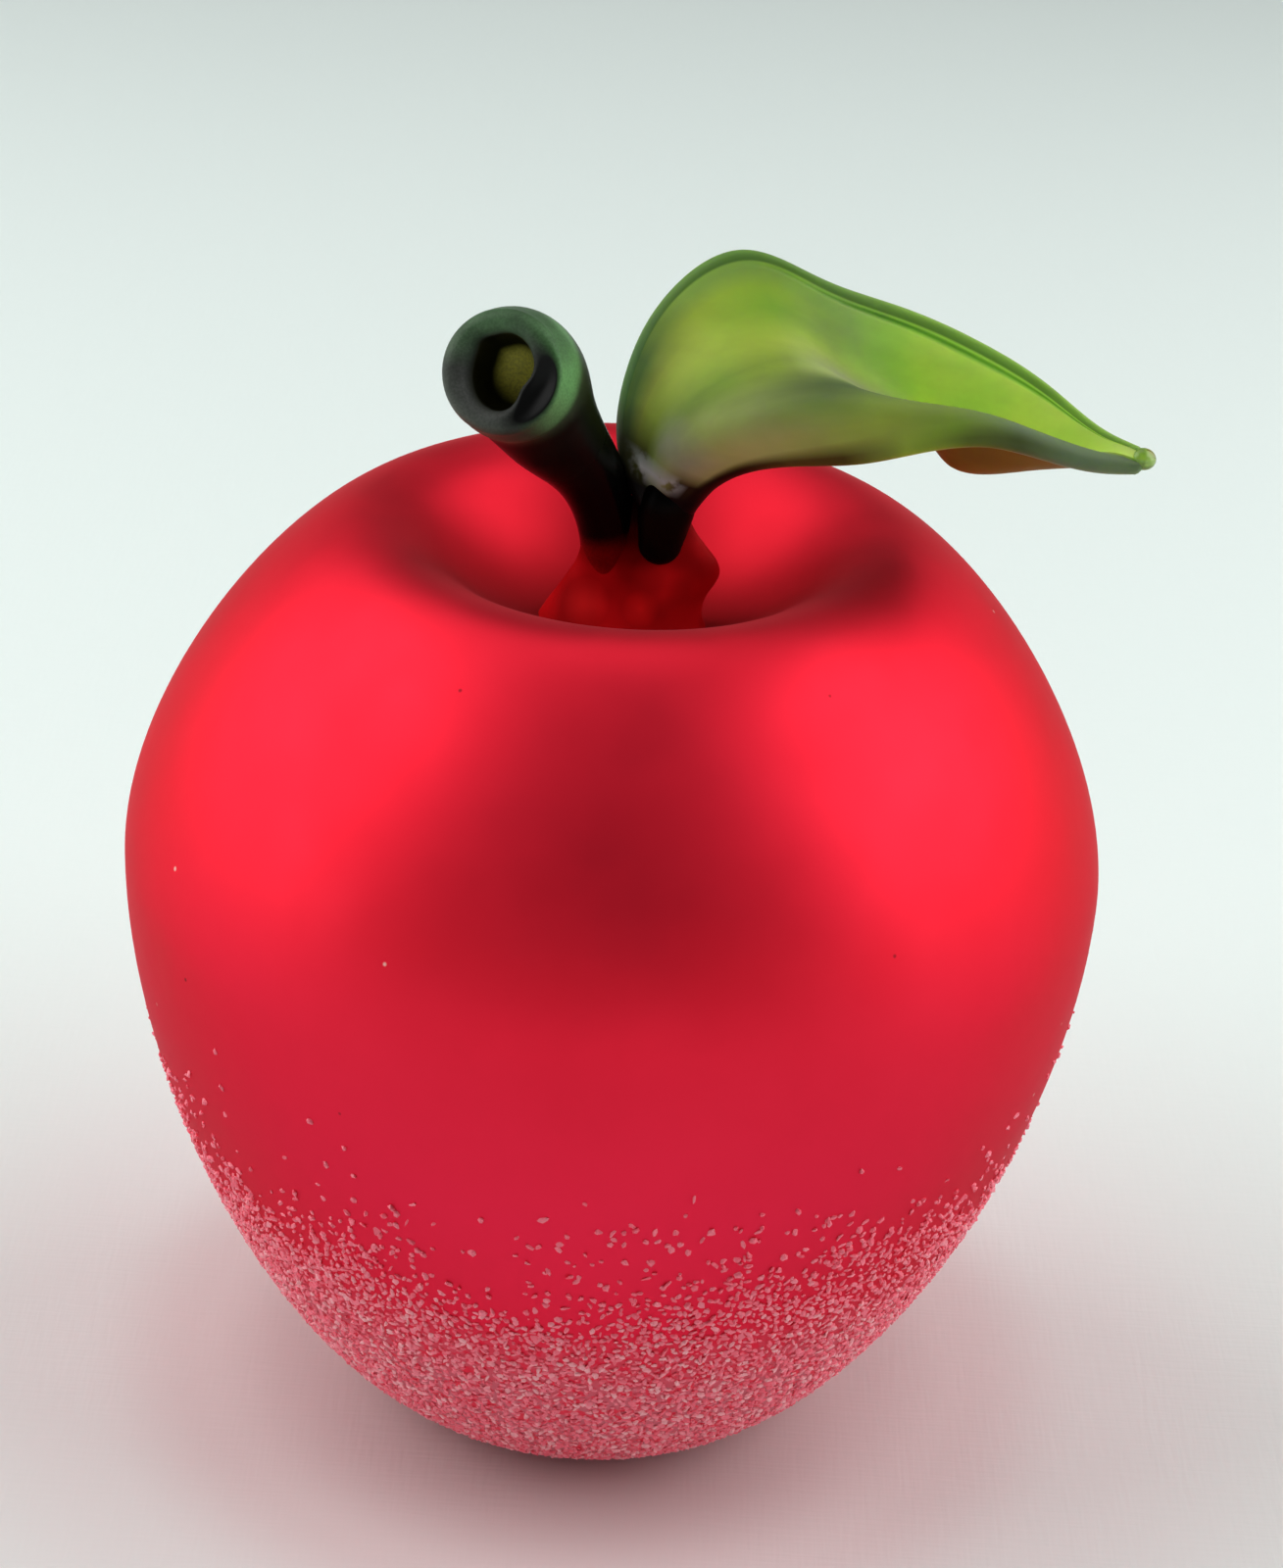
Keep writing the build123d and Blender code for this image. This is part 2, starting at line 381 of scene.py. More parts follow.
def skin(name, rings, start, end, attributes=None):
    """Closed smooth mesh through rings of points, with a pole at each end."""
    rings = np.asarray(rings)
    ring_count, sides = rings.shape[:2]
    vertices = [tuple(start)] + [tuple(p) for p in rings.reshape(-1, 3)] + [tuple(end)]
    faces = ring_faces(1, ring_count, sides)
    last = 1 + (ring_count - 1) * sides
    for side in range(sides):
        following = (side + 1) % sides
        faces.append((0, 1 + following, 1 + side))
        faces.append((last + side, last + following, len(vertices) - 1))
    mesh = bpy.data.meshes.new(name)
    mesh.from_pydata(vertices, [], faces)
    for attribute_name, (at_start, along_rings, at_end) in (attributes or {}).items():
        values = np.concatenate([[at_start], np.asarray(along_rings, float).ravel(), [at_end]])
        stored = mesh.attributes.new(attribute_name, "FLOAT", "POINT")
        stored.data.foreach_set("value", values.astype(np.float32))
    outward = bmesh.new()
    outward.from_mesh(mesh)
    bmesh.ops.recalc_face_normals(outward, faces=outward.faces)
    outward.to_mesh(mesh)
    outward.free()
    mesh.polygons.foreach_set("use_smooth", [True] * len(mesh.polygons))
    return new_piece(name, mesh)


def frames_along(centres):
    """At each point of a line, a direction towards the right, one square to it and the line's own."""
    frames = []
    for tangent in np.gradient(centres, axis=0):
        tangent = tangent / np.linalg.norm(tangent)
        right = np.array([1.0, 0, 0]) - tangent * tangent[0]
        right /= np.linalg.norm(right)
        frames.append((right, np.cross(tangent, right), tangent))
    return frames


def ring_turns(sides):
    """Angles of a ring's points."""
    return np.linspace(0, 2 * math.pi, sides, endpoint=False)


def oval_ring(centre, frame_here, half_right, half_up, sides):
    """Oval of points square to a line. The halves are numbers, or one number for each point."""
    right, up, tangent = frame_here
    turns = ring_turns(sides)
    return centre + np.outer(half_right * np.cos(turns), right) + np.outer(half_up * np.sin(turns), up)


# Body

def body_profile():
    """Half outline of the body, out along its foot, up and into the dimple."""
    belly = (body_radius, belly_height)
    crest = (crest_radius, crest_height)
    floor = (0.0, dimple_floor)
    points = [np.array((foot_radius * ring / foot_rings, 0.0)) for ring in range(1, foot_rings + 1)]
    points += bezier((foot_radius, 0), (foot_radius + foot_reach, 0),
                     (body_radius, belly_height - belly_drop), belly, body_curve_steps)
    points += bezier(belly, (body_radius, belly_height + belly_rise),
                     (crest_radius + crest_reach, crest_height), crest, body_curve_steps)
    points += bezier(crest, (crest_radius - dimple_lip_reach, crest_height),
                     (dimple_floor_reach, dimple_floor), floor, body_curve_steps)[:-1]
    return np.array(points)


def turned(profile, sides):
    """Rings of a half outline turned about the Z axis."""
    turns = ring_turns(sides)
    rings = np.zeros((len(profile), sides, 3))
    rings[:, :, 0] = profile[:, :1] * np.cos(turns)
    rings[:, :, 1] = profile[:, :1] * np.sin(turns)
    rings[:, :, 2] = profile[:, 1:]
    return rings


def make_body():
    rings = turned(body_profile(), body_sides)
    return skin("apple_body", rings, (0, 0, 0), (0, 0, dimple_floor))


# Nodes

def fill(tree, socket, value):
    """Link a socket to another one, or set it to a plain value."""
    if isinstance(value, bpy.types.NodeSocket):
        tree.links.new(value, socket)
    else:
        socket.default_value = value


def add_node(tree, kind, settings=None, **inputs):
    """New node of a kind, with its settings and what its inputs get, by their names."""
    node = tree.nodes.new(kind)
    for name, value in (settings or {}).items():
        setattr(node, name, value)
    for name, value in inputs.items():
        fill(tree, node.inputs[name.replace("_", " ")], value)
    return node


def calculate(tree, operation, *values):
    """Result of a sum on values, each a socket or a plain number."""
    node = add_node(tree, "ShaderNodeMath", {"operation": operation})
    for socket, value in zip(node.inputs, values):
        fill(tree, socket, value)
    return node.outputs[0]


def times(tree, first, second):
    return calculate(tree, "MULTIPLY", first, second)


# Crushed glass

def chip_tree(material):
    """Geometry nodes that strew chips of crushed glass over a surface, thinning out with height."""
    tree = bpy.data.node_groups.new("crushed_glass", "GeometryNodeTree")
    face = tree.interface
    face.new_socket("Surface", in_out="INPUT", socket_type="NodeSocketGeometry")
    for name, value in (("Chip radius", chip_radius), ("Spacing", chip_spacing),
                        ("Dense top", frit_dense_top), ("Loose top", frit_loose_top)):
        face.new_socket(name, in_out="INPUT", socket_type="NodeSocketFloat").default_value = value
    face.new_socket("Seed", in_out="INPUT", socket_type="NodeSocketInt").default_value = 1
    face.new_socket("Chips", in_out="OUTPUT", socket_type="NodeSocketGeometry")
    given = add_node(tree, "NodeGroupInput").outputs
    seed = given["Seed"]

    place = add_node(tree, "GeometryNodeInputPosition").outputs["Position"]
    height = add_node(tree, "ShaderNodeSeparateXYZ", Vector=place).outputs["Z"]
    drift = add_node(tree, "ShaderNodeTexNoise", Vector=place, Scale=frit_drift_waves, Detail=5.0,
                     Roughness=0.62)
    sway = calculate(tree, "MULTIPLY_ADD", drift.outputs["Fac"], -frit_drift, frit_drift / 2)
    cover = add_node(tree, "ShaderNodeMapRange", {"clamp": True}, Value=calculate(tree, "ADD", height, sway),
                     From_Min=given["Dense top"], From_Max=given["Loose top"], To_Min=1.0, To_Max=0.0)
    thin = calculate(tree, "POWER", cover.outputs["Result"], frit_thinning)
    strewn = add_node(tree, "GeometryNodeDistributePointsOnFaces", {"distribute_method": "POISSON"},
                      Mesh=given["Surface"], Distance_Min=given["Spacing"], Density_Max=frit_most_points,
                      Density_Factor=thin, Seed=seed).outputs

    chip = add_node(tree, "GeometryNodeMeshIcoSphere", Subdivisions=1, Radius=given["Chip radius"])
    stretch = add_node(tree, "FunctionNodeRandomValue", {"data_type": "FLOAT_VECTOR"},
                       Min=chip_least_stretch, Max=chip_most_stretch, Seed=seed)
    spin = add_node(tree, "FunctionNodeRandomValue", {"data_type": "FLOAT_VECTOR"},
                    Min=(-chip_tilt, -chip_tilt, 0.0), Max=(chip_tilt, chip_tilt, 2 * math.pi), Seed=seed)
    paleness = add_node(tree, "FunctionNodeRandomValue", {"data_type": "FLOAT"}, Seed=seed)
    laid = add_node(tree, "GeometryNodeInstanceOnPoints", Points=strewn["Points"],
                    Instance=chip.outputs["Mesh"], Rotation=strewn["Rotation"], Scale=stretch.outputs[0])
    spun = add_node(tree, "GeometryNodeRotateInstances", Instances=laid.outputs["Instances"],
                    Rotation=spin.outputs[0])
    noted = add_node(tree, "GeometryNodeStoreNamedAttribute", {"data_type": "FLOAT", "domain": "INSTANCE"},
                     Geometry=spun.outputs["Instances"], Name="paleness", Value=paleness.outputs[1])
    whole = add_node(tree, "GeometryNodeRealizeInstances", Geometry=noted.outputs["Geometry"])

    crumple = add_node(tree, "ShaderNodeTexNoise", Vector=place, Scale=chip_crumple_waves, Detail=0.0)
    centred = add_node(tree, "ShaderNodeVectorMath", {"operation": "SUBTRACT"})
    fill(tree, centred.inputs[0], crumple.outputs["Color"])
    fill(tree, centred.inputs[1], (0.5, 0.5, 0.5))
    shove = add_node(tree, "ShaderNodeVectorMath", {"operation": "SCALE"}, Vector=centred.outputs[0],
                     Scale=given["Chip radius"])
    crumpled = add_node(tree, "GeometryNodeSetPosition", Geometry=whole.outputs["Geometry"],
                        Offset=shove.outputs[0])
    finish = add_node(tree, "GeometryNodeSetMaterial", Geometry=crumpled.outputs["Geometry"],
                      Material=material)
    add_node(tree, "NodeGroupOutput", Chips=finish.outputs["Geometry"])
    return tree


def make_chips(name, tree, low, high, seed):
    """Chips on a band of the body between two heights, as one plain mesh."""
    profile = body_profile()
    lower_curve = profile[foot_rings:foot_rings + body_curve_steps]
    heights = np.linspace(low, high, frit_band_rings)
    radii = np.interp(heights, lower_curve[:, 1], lower_curve[:, 0])
    rings = turned(np.stack([radii, heights], axis=1), body_sides)
    band = bpy.data.meshes.new(name + "_band")
    band.from_pydata([tuple(p) for p in rings.reshape(-1, 3)], [], ring_faces(0, frit_band_rings, body_sides))
    piece = new_piece(name, band)
    strewing = piece.modifiers.new("crushed_glass", "NODES")
    strewing.node_group = tree
    for item in tree.interface.items_tree:
        if item.name == "Seed":
            strewing[item.identifier] = seed
    evaluated = piece.evaluated_get(bpy.context.evaluated_depsgraph_get())
    chips = bpy.data.meshes.new_from_object(evaluated)
    piece.modifiers.remove(strewing)
    piece.data = chips
    chips.name = name
    return piece


# Collar

def make_boss():
    upright = np.eye(3)
    steps = np.linspace(boss_levels[0][0], boss_levels[-1][0], boss_rings)
    middles, lengths, widths = [smooth_values([(level[0], level[k]) for level in boss_levels], steps)
                                for k in (1, 2, 3)]
    rings = []
    for height, middle, length, width in zip(steps, middles, lengths, widths):
        centre = from_dimple((middle, boss_middle_depth, height))
        rings.append(oval_ring(centre, upright, length * mm, width * mm, boss_sides))
    start = from_dimple((middles[0], boss_middle_depth, steps[0]))
    end = from_dimple((middles[-1], boss_middle_depth, steps[-1] + boss_top_round))
    rise_rings = np.repeat(steps[:, None] / steps[-1], boss_sides, axis=1)
    return skin("collar_glass", rings, start, end, {"rise": (rise_rings[0, 0], rise_rings, 1.0)})


# Stem

def turn_apart(turns, middle):
    """Angle between each of a ring's turns and a middle one, at most half a circle."""
    return np.abs((turns - middle + math.pi) % (2 * math.pi) - math.pi)


def stem_mouth_reach(turns):
    """Radius of the hole's uneven edge at each turn, drawn in where the lip folds over and notched above."""
    oval = 1 + stem_mouth_oval * np.cos(2 * (turns - stem_mouth_oval_turn))
    fold = turn_apart(turns, stem_mouth_fold_turn) / stem_mouth_fold_reach
    notch = turn_apart(turns, stem_mouth_notch_turn) / stem_mouth_notch_reach
    folded = oval - stem_mouth_fold * np.exp(-fold ** 2)
    return stem_mouth_radius * (folded + stem_mouth_notch * np.exp(-notch ** 2))


def make_stem():
    shares = np.linspace(0, 1, stem_rings)
    centres = smooth_line(from_dimple(stem_points), shares)
    radii = smooth_values(stem_radii, shares) * mm
    frames = frames_along(centres)
    turns = ring_turns(stem_sides)
    groove_share = np.clip(turn_apart(turns, stem_groove_turn) / stem_groove_reach, 0, 1)
    groove_round = np.cos(groove_share * math.pi / 2) ** 2
    mouth_reach = stem_mouth_reach(turns)
    rings = [oval_ring(*here, stem_sides) for here in zip(centres, frames, radii, radii)]
    along = list(shares)
    grooves = [np.zeros(stem_sides)] * stem_rings
    mouth = frames[-1]
    outwards = mouth[2]
    lip_half = (radii[-1] - mouth_reach) / 2
    for step in range(1, stem_lip_rings + 1):
        share = step / stem_lip_rings
        turn = math.pi * share
        radius = mouth_reach + lip_half * (1 + math.cos(turn))
        groove = math.exp(-((share - stem_groove_place) / stem_groove_width) ** 2) * groove_round
        rise = lip_half * stem_lip_bulge * math.sin(turn) - stem_groove_depth * groove
        ring = oval_ring(centres[-1], mouth, radius, radius, stem_sides)
        rings.append(ring + np.outer(rise, outwards))
        along.append(1 + stem_lip_span * share)
        grooves.append(groove)
    for step in range(1, stem_hole_rings + 1):
        depth = step / stem_hole_rings
        radius = mouth_reach * max(math.sqrt(1 - depth ** 3), stem_hole_bottom)
        centre = centres[-1] - outwards * stem_mouth_depth * depth
        rings.append(oval_ring(centre, mouth, radius, radius, stem_sides))
        along.append(1 + stem_lip_span + stem_hole_span * depth)
        grooves.append(np.zeros(stem_sides))
    bottom = centres[-1] - outwards * stem_mouth_depth
    along_rings = np.repeat(np.array(along)[:, None], stem_sides, axis=1)
    # Shares towards the right and the top, masks for the head's painted highlight and painted light
    right_rings = np.tile(0.5 + 0.5 * np.cos(turns - stem_right_turn), (len(rings), 1))
    upper_rings = np.tile(0.5 + 0.5 * np.cos(turns - stem_upper_turn), (len(rings), 1))
    attributes = {
        "along": (0.0, along_rings, stem_line_end),
        "groove": (0.0, grooves, 0.0),
        "right": (0.5, right_rings, 0.5),
        "upper": (0.5, upper_rings, 0.5),
    }
    return skin("stem_tube", rings, centres[0], bottom, attributes)


# Leaf

def make_leaf_foot():
    shares = np.linspace(0, 1, leaf_foot_rings)
    centres = smooth_line(from_dimple(leaf_foot_points), shares)
    radii = smooth_values(leaf_foot_radii, shares) * mm
    frames = frames_along(centres)
    rings = []
    below = frames[0][2]
    for step in range(1, leaf_foot_end_steps):
        turn = math.pi / 2 * step / leaf_foot_end_steps
        centre = centres[0] - below * radii[0] * math.cos(turn)
        radius = radii[0] * math.sin(turn)
        rings.append(oval_ring(centre, frames[0], radius, radius, leaf_foot_sides))
    for centre, here, radius in zip(centres, frames, radii):
        rings.append(oval_ring(centre, here, radius, radius, leaf_foot_sides))
    rise = frames[-1][2] * radii[-1] * leaf_foot_top_round
    for step in range(1, leaf_foot_end_steps):
        turn = math.pi / 2 * step / leaf_foot_end_steps
        centre = centres[-1] + rise * math.sin(turn)
        radius = radii[-1] * math.cos(turn)
        rings.append(oval_ring(centre, frames[-1], radius, radius, leaf_foot_sides))
    return skin("leaf_root", rings, centres[0] - below * radii[0], centres[-1] + rise)


def leaf_section_thickness(share):
    """Thickness of the blade at a share of its length: thick at the base, thin at the tip."""
    if share < leaf_base_share:
        return leaf_base_thickness + (leaf_thickness - leaf_base_thickness) * share / leaf_base_share
    rest = (share - leaf_base_share) / (1 - leaf_base_share)
    return leaf_thickness + (leaf_tip_thickness - leaf_thickness) * rest


def leaf_swell(share, lateness):
    """Nothing at the base and the tip, one in between, later along the blade for a larger lateness."""
    return math.sin(math.pi * share ** lateness) ** 2


def leaf_ring(share, near, far, along):
    """Closed ring round a section of the blade: points, their shares across it and their underside shares."""
    across = far - near
    width = np.linalg.norm(across)
    across = across / width
    under = np.cross(across, along)
    under /= np.linalg.norm(under)
    half = leaf_section_thickness(share) / 2
    span = width - 2 * half
    lip = leaf_lip_pull * leaf_swell(share, leaf_lip_lateness)
    trough = leaf_trough_pull * leaf_swell(share, leaf_trough_lateness)
    controls = [(half, 0), (half + leaf_lip_place * span, -lip), (half + leaf_trough_place * span, trough),
                (half + span, 0)]
    middle = bezier_at(controls, leaf_shares_across)
    heading = np.gradient(middle, leaf_shares_across, axis=0)
    heading /= np.linalg.norm(heading, axis=1)[:, None]
    side = np.stack([-heading[:, 1], heading[:, 0]], axis=1)
    rim = leaf_rim_dip * np.interp(share, leaf_rim_start, [0, 1])
    dip = 1 - rim * np.exp(-((leaf_shares_across - leaf_rim_share) / leaf_rim_width) ** 2)
    rolled = smooth_values(leaf_lip_thickening, share)[0] * mm
    thick = half * dip + rolled * np.exp(-(leaf_shares_across / leaf_lip_width) ** 2)
    upper = middle - side * thick[:, None]
    lower = middle + side * thick[:, None]
    loop = list(upper)
    loop_shares = list(leaf_shares_across)
    for step in range(1, leaf_steps_round_edge):
        turn = math.pi * step / leaf_steps_round_edge
        loop.append(middle[-1] + thick[-1] * (-side[-1] * math.cos(turn) + heading[-1] * math.sin(turn)))
        loop_shares.append(1.0)
    loop += list(lower[::-1])
    loop_shares += list(leaf_shares_across[::-1])
    for step in range(1, leaf_steps_round_edge):
        turn = math.pi * step / leaf_steps_round_edge
        loop.append(middle[0] + thick[0] * (side[0] * math.cos(turn) - heading[0] * math.sin(turn)))
        loop_shares.append(0.0)
    loop = np.array(loop)
    loop_under = [0.0] * len(upper) + [0.5] * (leaf_steps_round_edge - 1)
    loop_under += [1.0] * len(lower) + [0.5] * (leaf_steps_round_edge - 1)
    points = near + np.outer(loop[:, 0], across) + np.outer(loop[:, 1], under)
    return points, loop_shares, loop_under


def make_leaf():
    shares = np.linspace(0, 1, leaf_rings)
    near = smooth_line(from_dimple(leaf_near_edge_points), shares)
    far = smooth_line(from_dimple(leaf_far_edge_points), shares)
    along = np.gradient(near, axis=0)
    along /= np.linalg.norm(along, axis=1)[:, None]
    along_far = np.gradient(far, axis=0)
    along += along_far / np.linalg.norm(along_far, axis=1)[:, None]
    rings = []
    across_rings = []
    under_rings = []
    for share, near_here, far_here, along_here in zip(shares, near, far, along):
        ring, across, under = leaf_ring(share, near_here, far_here, along_here)
        rings.append(ring)
        across_rings.append(across)
        under_rings.append(under)
    tip_middle = rings[-1].mean(axis=0)
    tip_ring = rings[-1]
    heading = along[-1] / np.linalg.norm(along[-1])
    for step in range(1, leaf_tip_steps):
        turn = math.pi / 2 * step / leaf_tip_steps
        narrower = tip_middle + (tip_ring - tip_middle) * math.cos(turn)
        rings.append(narrower + heading * leaf_tip_round * math.sin(turn))
        across_rings.append(across_rings[-1])
        under_rings.append(under_rings[-1])
    shares = np.concatenate([shares, np.ones(leaf_tip_steps - 1)])
    along_rings = np.repeat(shares[:, None], len(across_rings[0]), axis=1)
    attributes = {"along": (0.0, along_rings, 1.0), "across": (0.5, across_rings, 0.5),
                  "under": (0.5, under_rings, 0.5)}
    return skin("leaf_sheet", rings, rings[0].mean(axis=0), tip_middle + heading * leaf_tip_round, attributes)


def make_bead():
    low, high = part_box("leaf_bead")
    middle = np.array((low + high) / 2) + leaf_bead_lift
    heading = leaf_bead_heading * mm
    here = frames_along(np.array([middle - heading, middle, middle + heading]))[1]
    reach = here[2] * leaf_bead_radius * leaf_bead_stretch
    rings = []
    for step in range(1, leaf_bead_rings):
        turn = math.pi * step / leaf_bead_rings
        radius = leaf_bead_radius * math.sin(turn)
        rings.append(oval_ring(middle - reach * math.cos(turn), here, radius, radius, leaf_bead_sides))
    return skin("leaf_drop", rings, middle - reach, middle + reach)


# Materials

def new_material(name, colour, roughness, **inputs):
    """Material with its shader's plain values set, its tree and its shader."""
    material = bpy.data.materials.new(name)
    material.use_nodes = True
    shader = material.node_tree.nodes["Principled BSDF"]
    shader.inputs["Base Color"].default_value = (*colour, 1)
    shader.inputs["Roughness"].default_value = roughness
    for input_name, value in inputs.items():
        shader.inputs[input_name.replace("_", " ")].default_value = value
    return material, material.node_tree, shader


def own_place(tree):
    """Place in the piece's own coordinates."""
    return add_node(tree, "ShaderNodeTexCoord").outputs["Object"]


def own_height(tree):
    return add_node(tree, "ShaderNodeSeparateXYZ", Vector=own_place(tree)).outputs["Z"]


def distance_from(tree, point, place):
    """Distance of a place from a fixed point."""
    apart = add_node(tree, "ShaderNodeVectorMath", {"operation": "DISTANCE"})
    fill(tree, apart.inputs[0], place)
    fill(tree, apart.inputs[1], point)
    return apart.outputs["Value"]


def noise(tree, waves, detail=2.0, stretch=(1, 1, 1)):
    """Noise over the piece's own coordinates, in waves per metre."""
    spread = add_node(tree, "ShaderNodeMapping", Vector=own_place(tree), Scale=stretch).outputs["Vector"]
    return add_node(tree, "ShaderNodeTexNoise", Vector=spread, Scale=waves, Detail=detail).outputs["Fac"]


def ramp(tree, source, stops, easing="EASE"):
    """Colours at places from 0 to 1 of a value."""
    node = add_node(tree, "ShaderNodeValToRGB", Fac=source)
    colours = node.color_ramp
    colours.interpolation = easing
    while len(colours.elements) < len(stops):
        colours.elements.new(0.5)
    for element, (place, colour) in zip(colours.elements, stops):
        element.position = place
        element.color = (*colour, 1)
    return node.outputs["Color"]


def grey(value):
    return (value, value, value)


def attribute(tree, name):
    """Value stored with the piece's points."""
    return add_node(tree, "ShaderNodeAttribute", {"attribute_name": name}).outputs["Fac"]


def map_range(tree, source, low, high, to_low=0.0, to_high=1.0):
    """Value that goes from one number to another while its source goes from low to high."""
    node = add_node(tree, "ShaderNodeMapRange", {"clamp": True}, Value=source, From_Min=low, From_Max=high,
                    To_Min=to_low, To_Max=to_high)
    return node.outputs["Result"]


def mix(tree, share, first, second, blend="MIX"):
    """Mix of two colours, each a socket or a plain colour, by a socket or a plain share."""
    node = add_node(tree, "ShaderNodeMix", {"data_type": "RGBA", "blend_type": blend})
    for socket, value in ((node.inputs[0], share), (node.inputs[6], first), (node.inputs[7], second)):
        fill(tree, socket, (*value, 1) if isinstance(value, tuple) else value)
    return node.outputs[2]


def specks(tree, waves, radius, core=0.6):
    """Mask of small round spots about as far apart as one wave, in waves per metre."""
    cells = add_node(tree, "ShaderNodeTexVoronoi", Vector=own_place(tree), Scale=waves)
    return map_range(tree, cells.outputs["Distance"], core * radius * waves, radius * waves, 1.0, 0.0)


def patch(tree, along, across, along_span, across_span, soft_along, soft_across):
    """Mask of a soft-edged patch of the blade between two shares along it and two across it."""
    sides = []
    for source, (low, high), soft in ((along, along_span, soft_along), (across, across_span, soft_across)):
        sides.append(times(tree, map_range(tree, source, low - soft, low + soft),
                           map_range(tree, source, high - soft, high + soft, 1.0, 0.0)))
    return times(tree, sides[0], sides[1])


def bump(tree, shader, source, strength, distance):
    """Slight unevenness of the surface."""
    node = add_node(tree, "ShaderNodeBump", Height=source, Strength=strength, Distance=distance)
    tree.links.new(node.outputs["Normal"], shader.inputs["Normal"])


def ruby_satin():
    """Satin red casing: pinker low down with a painted reflection of the pale floor and with fines of crushed
    glass, painted shade darkening the dimple, lightly specked.
    """
    material, tree, shader = new_material("ruby_satin", (0.8, 0.015, 0.03), 0.46, Metallic=0.8,
                                          Specular_Tint=(0.32, 0.17, 0.17, 1), Specular_IOR_Level=0.5,
                                          Sheen_Weight=0.03, Sheen_Roughness=0.5)
    height = own_height(tree)
    clouds = ramp(tree, noise(tree, waves=35.0, detail=3.0),
                  [(0.3, (0.78, 0.014, 0.034)), (0.7, (0.84, 0.018, 0.042))])
    # Painted reflection of the pale floor: pinker low down
    floor_reflection = map_range(tree, height, *floor_reflection_heights, 1.0, 0.0)
    clouds = mix(tree, floor_reflection, clouds, (0.83, 0.018, 0.062))
    fines_level = map_range(tree, height, *fines_heights, 1.0, 0.0)
    fines_grain = ramp(tree, noise(tree, waves=900.0), [(0.38, grey(0)), (0.52, grey(1))])
    fines = times(tree, fines_level, fines_grain)
    colour = mix(tree, fines, clouds, (0.66, 0.13, 0.18))
    flat = add_node(tree, "ShaderNodeVectorMath", {"operation": "MULTIPLY"})
    fill(tree, flat.inputs[0], own_place(tree))
    fill(tree, flat.inputs[1], (1, 1, 0))
    radius = distance_from(tree, (0, 0, 0), flat.outputs[0])
    # Painted shade: darker inside the dimple
    dimple_shade = times(tree, map_range(tree, radius, *dimple_shade_radii, 1.0, 0.0),
                   map_range(tree, height, *dimple_shade_heights))
    colour = mix(tree, dimple_shade, colour, (0.38, 0.005, 0.01))
    colour = mix(tree, specks(tree, waves=120.0, radius=0.3 * mm), colour, (0.3, 0.01, 0.015))
    colour = mix(tree, specks(tree, waves=85.0, radius=0.3 * mm), colour, (0.9, 0.45, 0.4))
    tree.links.new(colour, shader.inputs["Base Color"])
    rough = map_range(tree, noise(tree, waves=120.0, detail=4.0), 0.3, 0.7, 0.45, 0.52)
    tree.links.new(rough, shader.inputs["Roughness"])
    tree.links.new(map_range(tree, fines_level, 0.0, 1.0, 0.8, 0.3), shader.inputs["Metallic"])
    bump(tree, shader, noise(tree, waves=2200.0), strength=0.04, distance=0.2 * mm)
    return material


def pink_chips():
    """Crushed clear and pink glass, each chip a little paler or redder, and redder higher up."""
    material, tree, shader = new_material("pink_chips", (0.7, 0.25, 0.28), 0.3)
    redder_above = map_range(tree, own_height(tree), *frit_redder_heights, 1.0, 0.55)
    colours = ramp(tree, times(tree, attribute(tree, "paleness"), redder_above),
                   [(0.0, (0.9, 0.09, 0.15)), (0.6, (0.94, 0.18, 0.25)), (1.0, (0.96, 0.43, 0.47))], "LINEAR")
    tree.links.new(colours, shader.inputs["Base Color"])
    tree.links.new(map_range(tree, noise(tree, waves=700.0), 0.3, 0.7, 0.2, 0.45), shader.inputs["Roughness"])
    return material


def ruby_clear():
    """Red glass of the collar, dark round the feet of stem and leaf, with a few painted glints of light."""
    material, tree, shader = new_material("ruby_clear", (0.5, 0.01, 0.012), 0.42, Specular_IOR_Level=0.01)
    colour = ramp(tree, attribute(tree, "rise"), [
        (0.0, (0.48, 0.005, 0.007)),
        (0.35, (0.42, 0.004, 0.006)),
        (0.5, (0.36, 0.003, 0.005)),
        (0.62, (0.24, 0.002, 0.003)),
        (0.78, (0.07, 0.001, 0.001)),
        (0.9, (0.015, 0.001, 0.001)),
    ])
    # Painted glints: brighter red where light shines inside the glass
    for middle, reach, tint in painted_collar_glints:
        apart = distance_from(tree, from_dimple(middle), own_place(tree))
        colour = mix(tree, map_range(tree, apart, 0, reach * mm, painted_glint_strength, 0.0), colour, tint)
    spots = ramp(tree, noise(tree, waves=190.0, detail=1.0), [(0.4, grey(0.8)), (0.68, grey(1.25))])
    tree.links.new(mix(tree, 1.0, colour, spots, "MULTIPLY"), shader.inputs["Base Color"])
    bump(tree, shader, noise(tree, waves=220.0, detail=1.0), strength=0.1, distance=0.5 * mm)
    return material


